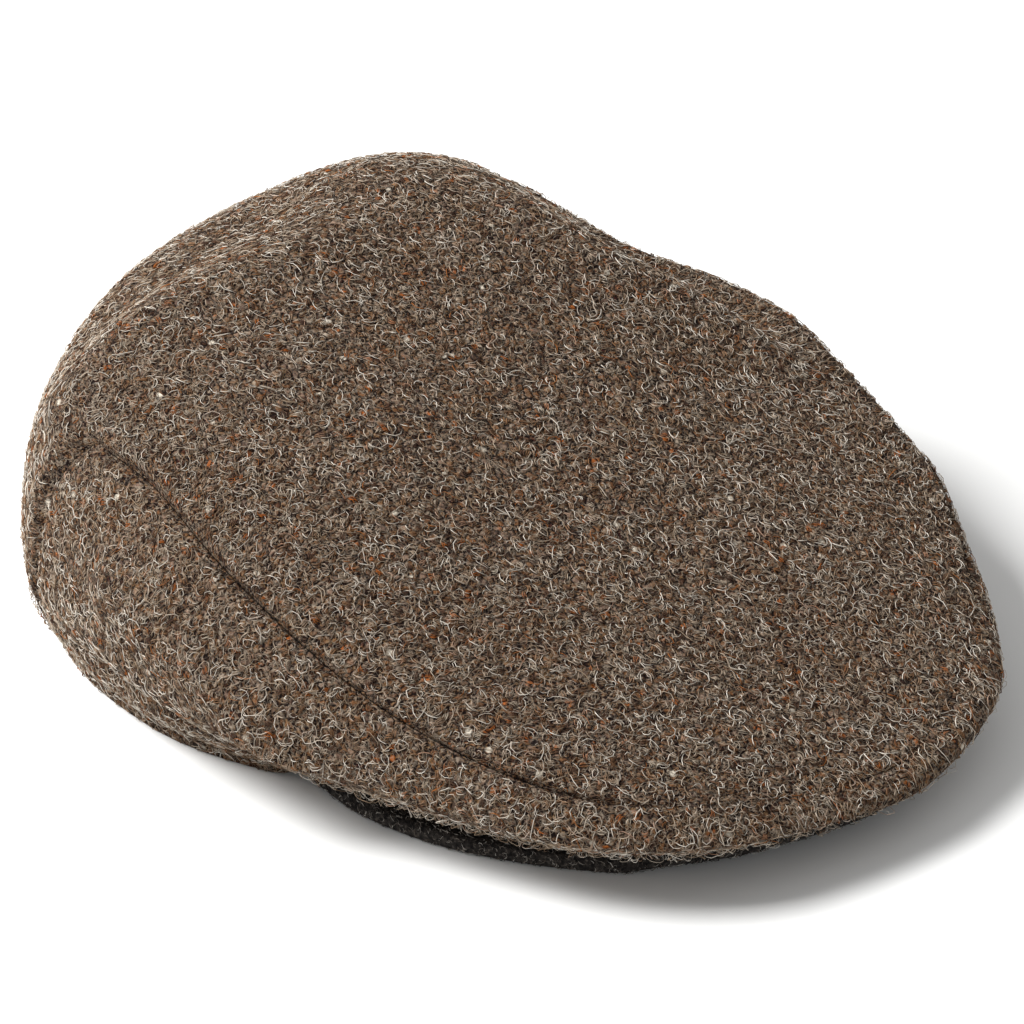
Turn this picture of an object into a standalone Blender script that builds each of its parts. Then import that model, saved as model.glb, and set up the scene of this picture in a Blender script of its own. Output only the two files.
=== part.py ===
"""A flat cap in coarse tweed, empty and resting on its hem: a top panel, a side band and a peak.

Metres. +Z is up, +Y runs to the back of the cap, +X to the wearer's left.
The cap stands on z = 0 with the middle of its length and width over the origin.
"""
from collections import namedtuple

import bpy
import numpy as np

OBJECT = "flat_cap"

# Driving sizes
CAP_LENGTH = 0.264
CAP_WIDTH = 0.222
CAP_HEIGHT = 0.108
CLOTH = 0.0024          # the tweed with its backing
SEAM_GAP = 0.0003
PEAK_THICK = 0.0045
PEAK_ROUND = 0.0014     # rounding of the peak's rim
PEAK_RISE = 0.014       # how far the peak's inner edge arches up
PEAK_LIP_RISE = 0.28    # share of that rise left at its outer edge
PEAK_ARCH_HALF = 0.062  # half the width of the arch
PEAK_CLEAR = 0.0006     # air between the side band's tucked hem and the peak
HEM_TRIM = 0.0008       # cloth below the floor, cut off flat
MOVED_LEFT = 0.0011     # the folds make the right side and the front stand out further,
MOVED_BACK = 0.0018     # so the cap is moved over

# The middle of the top, where all the sections start
MIDDLE_ALONG = 0.48     # share of the length from the front
MIDDLE_UP = 0.65        # share of the height
TOP_SLOPE = 0.42        # rise of the top towards the back there

# Where the side band's hem leaves the floor and climbs over the peak
CLIMB_FROM = 0.008
CLIMB_TO = -0.008

# Where two panels are sewn the cloth is drawn in
SEAM_DRAWN_IN = 0.0007
SEAM_REACH = 0.016      # in the unrolled plane, where 1 runs from the middle to the edge

NORMAL_REACH = 0.10     # the folds' directions are evened out over this way in the unrolled plane

# Grid of the panels, with one narrow step beside each seam
FRONT_STEPS = 28
SIDE_STEPS = 28
BACK_STEPS = 12
NARROW_STEP = 0.0024
PEAK_STEPS = 44
PEAK_ROWS = 5

# One row per section round the cap, from the front to the back along one side.
# across: share of half the width; along: share of the length from the front;
# edge_up: height of the widest edge, share of the height; flat: how far the top keeps its slope;
# shoulder: how far the shoulder stands over the edge, share of the height;
# lean: how far the shoulder leans in; tuck: how far the hem lies in from the edge, share of half the width;
# roll: how far the skin drops under the edge before it turns in.
Section = namedtuple("Section", "name across along edge_up flat shoulder lean tuck roll")
SECTIONS = (
    Section("front", 0.00, 0.000, 0.150, 0.50, 0.06, 0.02, 0.12, 0.28),
    Section("front_outer", 0.45, 0.040, 0.183, 0.50, 0.09, 0.01, 0.17, 0.26),
    Section("front_corner", 0.725, 0.147, 0.200, 0.54, 0.16, 0.00, 0.22, 0.30),
    Section("temple", 0.875, 0.317, 0.210, 0.60, 0.31, 0.00, 0.22, 0.32),
    Section("side", 0.99, 0.519, 0.255, 0.65, 0.46, 0.04, 0.20, 0.45),
    Section("side_back", 0.97, 0.689, 0.280, 0.65, 0.56, 0.06, 0.125, 0.60),
    Section("back_corner", 0.80, 0.865, 0.300, 0.65, 0.65, 0.02, 0.080, 0.66),
    Section("back_outer", 0.44, 0.964, 0.305, 0.58, 0.73, 0.00, 0.080, 0.62),
    Section("back", 0.00, 1.000, 0.305, 0.55, 0.745, 0.00, 0.10, 0.55),
)
TURNS = 2 * (len(SECTIONS) - 1)

# Seam between the top panel and the side band, by section number and by how far out it lies:
# 0 at the middle, 1 at the widest edge, 2 at the hem.
SeamPoint = namedtuple("SeamPoint", "name turn out")
SIDE_SEAM = (
    SeamPoint("front", 0.0, 0.88),
    SeamPoint("front_outer", 1.0, 0.80),
    SeamPoint("front_corner", 2.0, 0.80),
    SeamPoint("temple", 3.0, 0.785),
    SeamPoint("side", 4.0, 0.69),
    SeamPoint("side_back", 5.0, 0.65),
    SeamPoint("corner", 5.6, 0.69),
)
BACK_SEAM = (
    SeamPoint("corner", 5.6, 0.69),
    SeamPoint("shoulder", 5.7, 0.84),
    SeamPoint("edge", 5.7, 1.00),
    SeamPoint("low", 5.75, 1.40),
    SeamPoint("hem", 5.8, 2.00),
)
FRONT_CORNER_TURN = 1.7

# Folds and hollows, each along a line from one place to another: side is -1 on the wearer's right.
Fold = namedtuple("Fold", "name side turn_1 out_1 turn_2 out_2 reach lift")
FOLDS = (
    Fold("right_side_fold", -1, 4.9, 0.88, 3.6, 1.02, 0.07, 0.0042),
    Fold("right_side_hollow", -1, 5.0, 1.25, 4.1, 1.35, 0.14, -0.0036),
    Fold("back_ridge", -1, 6.0, 0.70, 7.9, 0.36, 0.07, 0.0042),
    Fold("back_hollow", -1, 6.5, 0.68, 8.2, 0.52, 0.09, -0.0036),
    Fold("crown_peak", 1, 6.8, 0.45, 6.4, 0.42, 0.18, 0.0055),
    Fold("crown_hollow", 1, 5.5, 0.56, 5.0, 0.66, 0.14, -0.0056),
    Fold("left_ridge", 1, 5.5, 0.34, 3.6, 0.53, 0.07, 0.0036),
    Fold("left_valley", 1, 4.9, 0.50, 3.9, 0.62, 0.07, -0.0058),
    Fold("left_side_puff", 1, 3.7, 0.78, 2.7, 0.82, 0.15, 0.0064),
    Fold("front_hollow", 1, 3.2, 0.45, 2.6, 0.50, 0.20, -0.0020),
    Fold("front_left_puff", 1, 0.1, 1.05, 0.7, 1.05, 0.22, 0.0038),
    Fold("front_left_hollow", 1, 1.5, 1.10, 2.3, 1.10, 0.20, -0.0048),
)

# Outline of the peak on one side, from the middle to its tip; shares as in the sections.
PeakPoint = namedtuple("PeakPoint", "name out_across out_along in_across in_along")
PEAK = (
    PeakPoint("middle", 0.000, 0.024, 0.00, 0.235),
    PeakPoint("front", 0.330, 0.070, 0.25, 0.248),
    PeakPoint("front_outer", 0.510, 0.134, 0.41, 0.284),
    PeakPoint("corner", 0.605, 0.184, 0.50, 0.320),
    PeakPoint("side", 0.695, 0.250, 0.57, 0.362),
    PeakPoint("side_back", 0.765, 0.325, 0.63, 0.405),
    PeakPoint("near_tip", 0.795, 0.410, 0.67, 0.452),
    PeakPoint("tip", 0.770, 0.490, 0.70, 0.499),
)


def smooth_step(x):
    x = np.clip(x, 0, 1)
    return x * x * (3 - 2 * x)


def through(values, place, closed=False):
    """A smooth curve through the rows of a table, read at fractional row numbers."""
    values = np.asarray(values, float)
    last = len(values)
    row = np.floor(place).astype(int)
    if not closed:
        row = np.clip(row, 0, last - 2)
    share = (place - row)[..., None]
    near = []
    for step in (-1, 0, 1, 2):
        near.append(values[(row + step) % last] if closed else values[np.clip(row + step, 0, last - 1)])
    a, b, c, d = near
    bend = 2 * a - 5 * b + 4 * c - d
    turn = 3 * b - a - 3 * c + d
    return 0.5 * (2 * b + (c - a) * share + bend * share ** 2 + turn * share ** 3)


def bezier(a, b, c, d, share):
    share = share[..., None]
    rest = 1 - share
    return a * rest ** 3 + 3 * b * share * rest ** 2 + 3 * c * share ** 2 * rest + d * share ** 3


def peak_rise(x, y):
    """Height of the peak's under side over the floor."""
    across = np.clip(1 - (x / PEAK_ARCH_HALF) ** 2, 0, 1)
    front = (PEAK[0].out_along - 0.5) * CAP_LENGTH
    inner = (PEAK[0].in_along - 0.5) * CAP_LENGTH
    inward = np.clip((y - front) / (inner - front), 0, 1)
    return PEAK_RISE * across * (PEAK_LIP_RISE + (1 - PEAK_LIP_RISE) * inward)


def hem_height(x, y):
    """The hem lies on the floor behind and over the peak in front."""
    over = peak_rise(x, y) + PEAK_THICK + PEAK_CLEAR
    climb = smooth_step((CLIMB_FROM - y) / (CLIMB_FROM - CLIMB_TO))
    return climb * over - (1 - climb) * HEM_TRIM


def to_plane(turn, out):
    """The cap's skin unrolled flat: the middle at 0, the widest edge at 1, the hem at 2."""
    angle = np.asarray(turn) * 2 * np.pi / TURNS
    return np.stack([out * np.sin(angle), -out * np.cos(angle)], -1)


def plain_skin(plane):
    """Points of the outer skin over the unrolled plane, before its folds."""
    out = np.hypot(plane[..., 0], plane[..., 1])
    turn = np.arctan2(plane[..., 0], -plane[..., 1]) * TURNS / (2 * np.pi) % TURNS
    one_side = [section[1:] for section in SECTIONS]
    other = [(-row[0],) + row[1:] for row in one_side[-2:0:-1]]
    ring = np.moveaxis(through(one_side + other, turn, closed=True), -1, 0)
    across, along, edge_up, flat, shoulder, lean, tuck, roll = ring
    half = CAP_WIDTH / 2
    edge = np.stack([across * half, (along - 0.5) * CAP_LENGTH, edge_up * CAP_HEIGHT], -1)
    middle = np.array([0, (MIDDLE_ALONG - 0.5) * CAP_LENGTH, MIDDLE_UP * CAP_HEIGHT])
    reach = edge - middle
    top_start = middle + reach * flat[..., None]
    top_start[..., 2] = middle[2] + TOP_SLOPE * (top_start[..., 1] - middle[1])
    top_end = edge.copy()
    top_end[..., :2] -= reach[..., :2] * lean[..., None]
    top_end[..., 2] += shoulder * CAP_HEIGHT
    top = bezier(middle, top_start, top_end, edge, np.clip(out, 0, 1))
    inward = -reach[..., :2] / np.linalg.norm(reach[..., :2], axis=-1, keepdims=True)
    hem = edge.copy()
    hem[..., :2] += inward * (tuck * half)[..., None]
    hem[..., 2] = hem_height(hem[..., 0], hem[..., 1])
    drop = (edge - hem) * np.array([0, 0, 1.0])
    low = bezier(edge, edge - roll[..., None] * drop, hem + 0.30 * drop, hem, np.clip(out - 1, 0, 1))
    return np.where((out <= 1)[..., None], top, low)


def skin_normals(plane):
    """Directions out of the plain skin, evened out over a short way round each place."""
    over_x = np.array([NORMAL_REACH, 0.0])
    over_y = np.array([0.0, NORMAL_REACH])
    along_x = plain_skin(plane + over_x) - plain_skin(plane - over_x)
    along_y = plain_skin(plane + over_y) - plain_skin(plane - over_y)
    normal = np.cross(along_x, along_y)
    return normal / np.linalg.norm(normal, axis=-1, keepdims=True)


def fold_lift(plane):
    """How far the folds lift the skin out at points of the unrolled plane."""
    lift = np.zeros(plane.shape[:-1])
    for fold in FOLDS:
        start = to_plane(fold.turn_1, fold.out_1) * (fold.side, 1)
        end = to_plane(fold.turn_2, fold.out_2) * (fold.side, 1)
        line = end - start
        share = np.clip(((plane - start) @ line) / (line @ line), 0, 1)
        away = np.linalg.norm(plane - start - share[..., None] * line, axis=-1)
        lift += fold.lift * np.exp(-(away / fold.reach) ** 2)
    return lift


def seam_line(table, first_turn, last_turn):
    """Part of the seam on the wearer's left, in the unrolled plane."""
    rows = [(row.turn, row.out) for row in table]
    dense = through(rows, np.linspace(0, len(rows) - 1, 600))
    dense = dense[(dense[:, 0] >= first_turn - 1e-9) & (dense[:, 0] <= last_turn + 1e-9)]
    return to_plane(dense[:, 0], dense[:, 1])


def seam_depth(plane):
    """How far the sewing draws the skin in."""
    lines = np.concatenate([seam_line(SIDE_SEAM, 0, 8), seam_line(BACK_SEAM, 0, 8)])
    places = plane.reshape(-1, 2).copy()
    places[:, 0] = np.abs(places[:, 0])
    away = np.full(len(places), 9.0)
    for start, end in zip(lines[:-1:6], lines[6::6]):
        line = end - start
        share = np.clip(((places - start) @ line) / (line @ line + 1e-12), 0, 1)
        away = np.minimum(away, np.linalg.norm(places - start - share[:, None] * line, axis=1))
    return (SEAM_DRAWN_IN * np.exp(-(away / SEAM_REACH) ** 2)).reshape(plane.shape[:-1])


def skin(plane):
    keep = smooth_step((2 - np.hypot(plane[..., 0], plane[..., 1])) / 0.35)
    lift = (fold_lift(plane) - seam_depth(plane)) * keep
    return plain_skin(plane) + skin_normals(plane) * lift[..., None]


def lengths(points):
    """Length along a line of points up to each of them."""
    return np.r_[0, np.cumsum(np.linalg.norm(np.diff(points, axis=0), axis=1))]


def stepped(curve, count):
    """The curve's points moved to equal steps along the skin, with a narrow one at each end."""
    length = lengths(skin(curve))
    inner = np.linspace(NARROW_STEP, length[-1] - NARROW_STEP, count - 1)
    at = np.r_[0, inner, length[-1]]
    return np.stack([np.interp(at, length, curve[:, 0]), np.interp(at, length, curve[:, 1])], 1)


def mirrored(curve):
    return curve * np.array([-1, 1])


def seam_parts():
    """The seam on the wearer's left: round the front, along the side and down the back."""
    front_half = seam_line(SIDE_SEAM, 0.0, FRONT_CORNER_TURN)
    front = stepped(np.concatenate([mirrored(front_half)[:0:-1], front_half]), FRONT_STEPS)
    side = seam_line(SIDE_SEAM, FRONT_CORNER_TURN, 8)
    side = stepped(np.concatenate([front[-1:], side[1:]]), SIDE_STEPS)
    back = stepped(seam_line(BACK_SEAM, 0, 8), BACK_STEPS)
    back[0] = side[-1]
    return front, side, back


def pull_in(points, gap, ends):
    """Moves the grid's rim off the seam by half the gap, towards the next points in."""
    moved = points.copy()
    for rim, inner in ends:
        step = points[inner] - points[rim]
        size = np.linalg.norm(step, axis=-1, keepdims=True)
        moved[rim] = moved[rim] + step / size * gap / 2
    return moved


def top_grid():
    """Grid of the top panel, a row from side to side at each point of the side seam and the back seam."""
    front, side, back = seam_parts()
    left = np.concatenate([side, back[1:]])
    right = mirrored(left)
    turn_at_hem = np.linspace(TURNS - BACK_SEAM[-1].turn, BACK_SEAM[-1].turn, 300)
    hem = stepped(to_plane(turn_at_hem, np.full(300, 2.0)), FRONT_STEPS)
    down = lengths(skin(left))
    down = (down / down[-1])[:, None, None]
    narrow = NARROW_STEP / (1.5 * CAP_WIDTH / 2)
    across = np.r_[0, np.linspace(narrow, 1 - narrow, FRONT_STEPS - 1), 1][None, :, None]
    rows = right[:, None] * (1 - across) + left[:, None] * across
    front_bow = front[None] - front[0] * (1 - across) - front[-1] * across
    hem_bow = hem[None] - hem[0] * (1 - across) - hem[-1] * across
    rows = rows + front_bow * (1 - down) ** 3 + hem_bow * down ** 3
    points = skin(rows)
    whole = slice(None)
    rims = (((0, whole), (1, whole)), ((whole, 0), (whole, 1)), ((whole, -1), (whole, -2)))
    return pull_in(points, SEAM_GAP, rims)


def band_grid():
    """Grid of the side band, a column from the seam to the hem at each point of the side and front seams."""
    front, side, back = seam_parts()
    upper = np.concatenate([mirrored(side)[:0:-1], front, side[1:]])
    turn = np.arctan2(upper[:, 0], -upper[:, 1]) * TURNS / (2 * np.pi)
    out = np.hypot(upper[:, 0], upper[:, 1])
    back_turn = np.arctan2(back[:, 0], -back[:, 1]) * TURNS / (2 * np.pi)
    back_out = np.hypot(back[:, 0], back[:, 1])
    reach = turn / back_turn[0]
    columns = []
    for index in range(len(upper)):
        share = (back_out - back_out[0]) / (back_out[-1] - back_out[0])
        column_turn = turn[index] + reach[index] * (back_turn - back_turn[0])
        column_out = out[index] + (2 - out[index]) * share
        columns.append(to_plane(column_turn, column_out))
    points = skin(np.array(columns))
    whole = slice(None)
    rims = (((whole, 0), (whole, 1)), ((0, whole), (1, whole)), ((-1, whole), (-2, whole)))
    return pull_in(points, SEAM_GAP, rims)


def peak_grid():
    """Grid of the peak's under side, from its outer edge to its inner edge."""
    one_side = np.array([row[1:] for row in PEAK])
    other = one_side[:0:-1] * (-1, 1, -1, 1)
    rows = np.concatenate([other, one_side])
    dense = through(rows, np.linspace(0, len(rows) - 1, 900))
    scale = np.array([CAP_WIDTH / 2, CAP_LENGTH])
    outer = (dense[:, :2] - (0, 0.5)) * scale
    inner = (dense[:, 2:] - (0, 0.5)) * scale
    length = lengths(outer)
    at = np.linspace(0, length[-1], PEAK_STEPS + 1)
    outer = np.stack([np.interp(at, length, outer[:, 0]), np.interp(at, length, outer[:, 1])], 1)
    inner = np.stack([np.interp(at, length, inner[:, 0]), np.interp(at, length, inner[:, 1])], 1)
    share = np.linspace(0, 1, PEAK_ROWS + 1)[None, :, None]
    plan = outer[:, None] * (1 - share) + inner[:, None] * share
    return np.concatenate([plan, peak_rise(plan[..., :1], plan[..., 1:])], -1)


def material(name, colour, roughness):
    made = bpy.data.materials.new(name)
    made.use_nodes = True
    shader = made.node_tree.nodes["Principled BSDF"]
    shader.inputs["Base Color"].default_value = (*colour, 1)
    shader.inputs["Roughness"].default_value = roughness
    return made


def sheet(name, grid, outward, collection, made_of):
    """An open sheet of quads over a grid, its faces turned towards outward."""
    grid = grid + np.array([MOVED_LEFT, MOVED_BACK, 0])
    rows, columns = grid.shape[:2]
    number = np.arange(rows * columns).reshape(rows, columns)
    quads = np.stack([number[:-1, :-1], number[1:, :-1], number[1:, 1:], number[:-1, 1:]], -1).reshape(-1, 4)
    points = grid.reshape(-1, 3)
    first = points[quads[:, 2]] - points[quads[:, 0]]
    second = points[quads[:, 3]] - points[quads[:, 1]]
    facing = (np.cross(first, second) * outward(points[quads].mean(1))).sum()
    if facing < 0:
        quads = quads[:, ::-1]
    mesh = bpy.data.meshes.new(name)
    mesh.from_pydata(points.tolist(), [], quads.tolist())
    mesh.shade_smooth()
    mesh.materials.append(made_of)
    made = bpy.data.objects.new(name, mesh)
    collection.objects.link(made)
    return made


def thicken(piece, thickness, offset):
    solid = piece.modifiers.new("thickness", "SOLIDIFY")
    solid.thickness = thickness
    solid.offset = offset
    solid.use_rim = True
    solid.use_even_offset = False


def cut(piece, cutter):
    trim = piece.modifiers.new("flat_hem", "BOOLEAN")
    trim.operation = "DIFFERENCE"
    trim.solver = "EXACT"
    trim.object = cutter


def main():
    for old in list(bpy.data.objects):
        bpy.data.objects.remove(old, do_unlink=True)
    pieces = bpy.data.collections.new(OBJECT)
    cutters = bpy.data.collections.new("cutters")
    bpy.context.scene.collection.children.link(pieces)
    bpy.context.scene.collection.children.link(cutters)

    tweed_top = material("top_tweed", (0.129, 0.093, 0.068), 0.95)
    tweed_side = material("side_tweed", (0.129, 0.093, 0.068), 0.95)
    peak_wool = material("peak_wool", (0.014, 0.012, 0.011), 0.95)

    bpy.ops.mesh.primitive_cube_add(size=1, location=(0, 0, -0.01))
    floor_cut = bpy.context.object
    floor_cut.name = "floor_cut"
    floor_cut.scale = (2 * CAP_WIDTH, 2 * CAP_LENGTH, 0.02)
    floor_cut.display_type = "WIRE"
    floor_cut.hide_render = True
    for home in list(floor_cut.users_collection):
        home.objects.unlink(floor_cut)
    cutters.objects.link(floor_cut)

    inside = np.array([0, 0, 0.2 * CAP_HEIGHT])
    top = sheet("top_panel", top_grid(), lambda at: at - inside, pieces, tweed_top)
    thicken(top, CLOTH, -1)
    cut(top, floor_cut)

    band = sheet("side_band", band_grid(), lambda at: at - inside, pieces, tweed_side)
    thicken(band, CLOTH, -1)
    cut(band, floor_cut)

    peak = sheet("peak", peak_grid(), lambda at: np.array([0, 0, 1.0]), pieces, peak_wool)
    thicken(peak, PEAK_THICK, 1)
    rim = peak.modifiers.new("rounded_rim", "BEVEL")
    rim.width = PEAK_ROUND
    rim.segments = 2
    rim.limit_method = "ANGLE"
    rim.angle_limit = np.radians(50)


main()
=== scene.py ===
"""Looks of a flat cap in coarse hairy tweed, lying empty on its hem and its short dark peak.

Metres. +Z is up, +Y runs to the back of the cap, +X to the wearer's left.
The cloth is made again, finer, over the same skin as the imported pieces, and covered with wool fibres.
"""
import math
from collections import namedtuple

import bpy
import numpy as np
from mathutils import Matrix


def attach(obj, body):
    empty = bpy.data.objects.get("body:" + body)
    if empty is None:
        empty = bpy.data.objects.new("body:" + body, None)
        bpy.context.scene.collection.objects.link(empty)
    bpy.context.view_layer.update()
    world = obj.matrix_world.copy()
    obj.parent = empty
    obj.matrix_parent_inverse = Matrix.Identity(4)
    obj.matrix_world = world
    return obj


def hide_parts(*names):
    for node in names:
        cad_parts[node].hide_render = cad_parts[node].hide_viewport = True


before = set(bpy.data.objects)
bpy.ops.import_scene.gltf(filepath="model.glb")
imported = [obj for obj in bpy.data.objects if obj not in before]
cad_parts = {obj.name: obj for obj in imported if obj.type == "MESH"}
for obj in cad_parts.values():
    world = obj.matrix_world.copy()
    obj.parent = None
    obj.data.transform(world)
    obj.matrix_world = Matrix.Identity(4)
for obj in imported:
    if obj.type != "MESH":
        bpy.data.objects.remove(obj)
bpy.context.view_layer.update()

# Sizes of the cap's skin
CAP_LENGTH = 0.264
CAP_WIDTH = 0.222
CAP_HEIGHT = 0.108
CLOTH = 0.0024
SEAM_GAP = 0.0003
PEAK_THICK = 0.0045
PEAK_RISE = 0.014       # how far the peak's inner edge arches up
PEAK_LIP_RISE = 0.28    # share of that rise left at its outer edge
PEAK_ARCH_HALF = 0.062  # half the width of the arch
PEAK_CLEAR = 0.0006     # air between the side band's tucked hem and the peak
HEM_LIFT = 0.0001       # the hem's cut edge over the floor
MOVED_LEFT = 0.0011     # the cap's middle over the origin
MOVED_BACK = 0.0018

# The middle of the top, where all the sections start
MIDDLE_ALONG = 0.48     # share of the length from the front
MIDDLE_UP = 0.65        # share of the height
TOP_SLOPE = 0.42        # rise of the top towards the back there

HEM_UPRIGHT = 0.30      # how far the skin stands upright over the hem, as a share of its drop
FOLDS_END = 0.35        # the folds and the seam flatten over this last part of the unrolled plane
SLOPE_STEP = 0.004      # step in the unrolled plane over which the skin's directions are measured
FOLD_SLOPE_STEP = 0.10  # a longer step for the folds, which evens their directions out

# Where the side band's hem leaves the floor and climbs over the peak
CLIMB_FROM = 0.008
CLIMB_TO = -0.008

# Sewing: a groove along the seam and the turned cloth standing up beside it, on the top panel
GROOVE_DEPTH = 0.0021
GROOVE_REACH = 0.011    # in the unrolled plane, where 1 runs from the middle to the edge
RIDGE_HEIGHT = 0.0010
RIDGE_AWAY = 0.034      # from the seam to the ridge's middle
RIDGE_REACH = 0.018
SEAM_GROWS = (1.0, 3.0) # pressed flat in front, the sewing grows to its full depth between these sections
SEAM_FRONT_SHARE = 0.10 # what is left of its depth in front

# Mesh steps along the skin and the peak
SKIN_STEP = 0.0023
NARROW_STEPS = (0.0004, 0.0010, 0.0018)     # next to each edge of the cloth
PEAK_STEP = 0.0022
PEAK_FLAT_STEPS = 26    # across the peak, on each of its flat sides
RIM_STEPS = 7
SEAM_POINTS = 600       # points along smooth curves before they are cut into steps
HEM_POINTS = 300
PEAK_POINTS = 900
SEAM_STRIDE = 6         # distances to the seam are measured to every sixth of its points
FAR = 9.0               # farther than any place in the unrolled plane
SLACK = 1e-9            # so that rounding drops no end point of the seam
TINY = 1e-12            # keeps divisions off zero
BOW_FADE = 3            # power by which the bow of the front seam and of the hem fades over the top panel

# One row per section round the cap, from the front to the back along one side.
# across: share of half the width; along: share of the length from the front;
# edge_up: height of the widest edge, share of the height; flat: how far the top keeps its slope;
# shoulder: how far the shoulder stands over the edge, share of the height;
# lean: how far the shoulder leans in; tuck: how far the hem lies in from the edge, share of half the width;
# roll: how far the skin drops under the edge before it turns in.
Section = namedtuple("Section", "name across along edge_up flat shoulder lean tuck roll")
SECTIONS = (
    Section("front", 0.00, 0.000, 0.150, 0.50, 0.06, 0.02, 0.12, 0.28),
    Section("front_outer", 0.45, 0.040, 0.183, 0.50, 0.09, 0.01, 0.17, 0.26),
    Section("front_corner", 0.725, 0.147, 0.200, 0.54, 0.16, 0.00, 0.22, 0.30),
    Section("temple", 0.875, 0.317, 0.210, 0.60, 0.31, 0.00, 0.22, 0.32),
    Section("side", 0.99, 0.519, 0.255, 0.65, 0.46, 0.04, 0.20, 0.45),
    Section("side_back", 0.97, 0.689, 0.280, 0.65, 0.56, 0.06, 0.125, 0.60),
    Section("back_corner", 0.80, 0.865, 0.300, 0.65, 0.65, 0.02, 0.080, 0.66),
    Section("back_outer", 0.44, 0.964, 0.305, 0.58, 0.73, 0.00, 0.080, 0.62),
    Section("back", 0.00, 1.000, 0.305, 0.55, 0.745, 0.00, 0.10, 0.55),
)
TURNS = 2 * (len(SECTIONS) - 1)
HEM = 2.0               # how far out the hem lies in the unrolled plane

# Seam between the top panel and the side band, by section number and by how far out it lies
SeamPoint = namedtuple("SeamPoint", "name turn out")
SIDE_SEAM = (
    SeamPoint("front", 0.0, 0.88),
    SeamPoint("front_outer", 1.0, 0.80),
    SeamPoint("front_corner", 2.0, 0.80),
    SeamPoint("temple", 3.0, 0.785),
    SeamPoint("side", 4.0, 0.69),
    SeamPoint("side_back", 5.0, 0.65),
    SeamPoint("corner", 5.6, 0.69),
)
BACK_SEAM = (
    SeamPoint("corner", 5.6, 0.69),
    SeamPoint("shoulder", 5.7, 0.84),
    SeamPoint("edge", 5.7, 1.00),
    SeamPoint("low", 5.75, 1.40),
    SeamPoint("hem", 5.8, 2.00),
)
FRONT_CORNER_TURN = 1.7

# Folds and hollows, each along a line from one place to another: side is -1 on the wearer's right.
Fold = namedtuple("Fold", "name side turn_1 out_1 turn_2 out_2 reach lift")
FOLDS = (
    Fold("right_side_fold", -1, 4.9, 0.88, 3.6, 1.02, 0.07, 0.0042),
    Fold("right_side_hollow", -1, 5.0, 1.25, 4.1, 1.35, 0.14, -0.0036),
    Fold("back_ridge", -1, 6.0, 0.70, 7.9, 0.36, 0.07, 0.0042),
    Fold("back_hollow", -1, 6.5, 0.68, 8.2, 0.52, 0.09, -0.0036),
    Fold("crown_peak", 1, 6.8, 0.45, 6.4, 0.42, 0.18, 0.0055),
    Fold("crown_hollow", 1, 5.5, 0.56, 5.0, 0.66, 0.14, -0.0056),
    Fold("left_ridge", 1, 5.5, 0.34, 3.6, 0.53, 0.07, 0.0036),
    Fold("left_valley", 1, 4.9, 0.50, 3.9, 0.62, 0.07, -0.0058),
    Fold("left_side_puff", 1, 3.7, 0.78, 2.7, 0.82, 0.15, 0.0064),
    Fold("front_hollow", 1, 3.2, 0.45, 2.6, 0.50, 0.20, -0.0020),
    Fold("front_left_puff", 1, 0.1, 1.05, 0.7, 1.05, 0.22, 0.0038),
    Fold("front_left_hollow", 1, 1.5, 1.10, 2.3, 1.10, 0.20, -0.0048),
)

# Outline of the peak on one side, from the middle to its tip; shares as in the sections.
PeakPoint = namedtuple("PeakPoint", "name out_across out_along in_across in_along")
PEAK = (
    PeakPoint("middle", 0.000, 0.024, 0.00, 0.235),
    PeakPoint("front", 0.330, 0.070, 0.25, 0.248),
    PeakPoint("front_outer", 0.510, 0.134, 0.41, 0.284),
    PeakPoint("corner", 0.605, 0.184, 0.50, 0.320),
    PeakPoint("side", 0.695, 0.250, 0.57, 0.362),
    PeakPoint("side_back", 0.765, 0.325, 0.63, 0.405),
    PeakPoint("near_tip", 0.795, 0.410, 0.67, 0.452),
    PeakPoint("tip", 0.770, 0.490, 0.70, 0.499),
)

# Wool fibres. home: the top panel, the side band, the band's lip over the peak, or the peak.
# bunch: how many lie side by side; nodes: points along each; lift: how far its loop stands off the cloth;
# curl: how far it turns, in radians; wool: which wool it is made of.
Strands = namedtuple("Strands", "name home count bunch nodes length width lift curl wool")
STRANDS = (
    Strands("top_yarn_strokes", "top", 15900, 3, 4, 0.0026, 0.00030, 0.00038, 1.6, "yarn"),
    Strands("top_curls_a", "top", 11000, 1, 5, 0.0050, 0.00021, 0.00058, 3.1, "loose"),
    Strands("top_curls_b", "top", 8400, 1, 5, 0.0038, 0.00020, 0.00045, 3.5, "loose"),
    Strands("band_yarn_strokes", "band", 9000, 3, 4, 0.0026, 0.00030, 0.00038, 1.6, "yarn"),
    Strands("band_curls", "band", 9300, 1, 5, 0.0046, 0.00021, 0.00055, 3.3, "loose"),
    Strands("lip_curls", "lip", 1000, 1, 8, 0.0062, 0.00014, 0.00180, 5.0, "loose"),
    Strands("peak_fibres", "peak", 4200, 1, 4, 0.0019, 0.00017, 0.00026, 2.4, "peak"),
)
BUNCH_STEP = 1.4        # from one fibre of a bunch to the next, in fibre widths
LENGTH_RANGE = (0.45, 1.5)  # shares of the row's length, lift, width and curl that single fibres have
LIFT_RANGE = (0.35, 1.6)
WIDTH_RANGE = (0.7, 1.35)
CURL_RANGE = (0.35, 1.3)
LOOP_ARC = (0.15, np.pi * 0.92)     # part of a half circle that a fibre's lift follows, in radians
UNEVEN_TURN = 0.75      # how unevenly a fibre turns along its length, in radians
UNEVEN_LIFT = 0.36      # how unevenly it is lifted, as a share of its lift
SEAM_BARE = 0.015       # how far from the seam, in the unrolled plane, fibres start
SEAM_SHORT = (0.005, 0.032)     # between these distances from the seam they grow to their full length
SEAM_SHORTEST = 0.25    # share of their length that those at the seam keep
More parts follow.
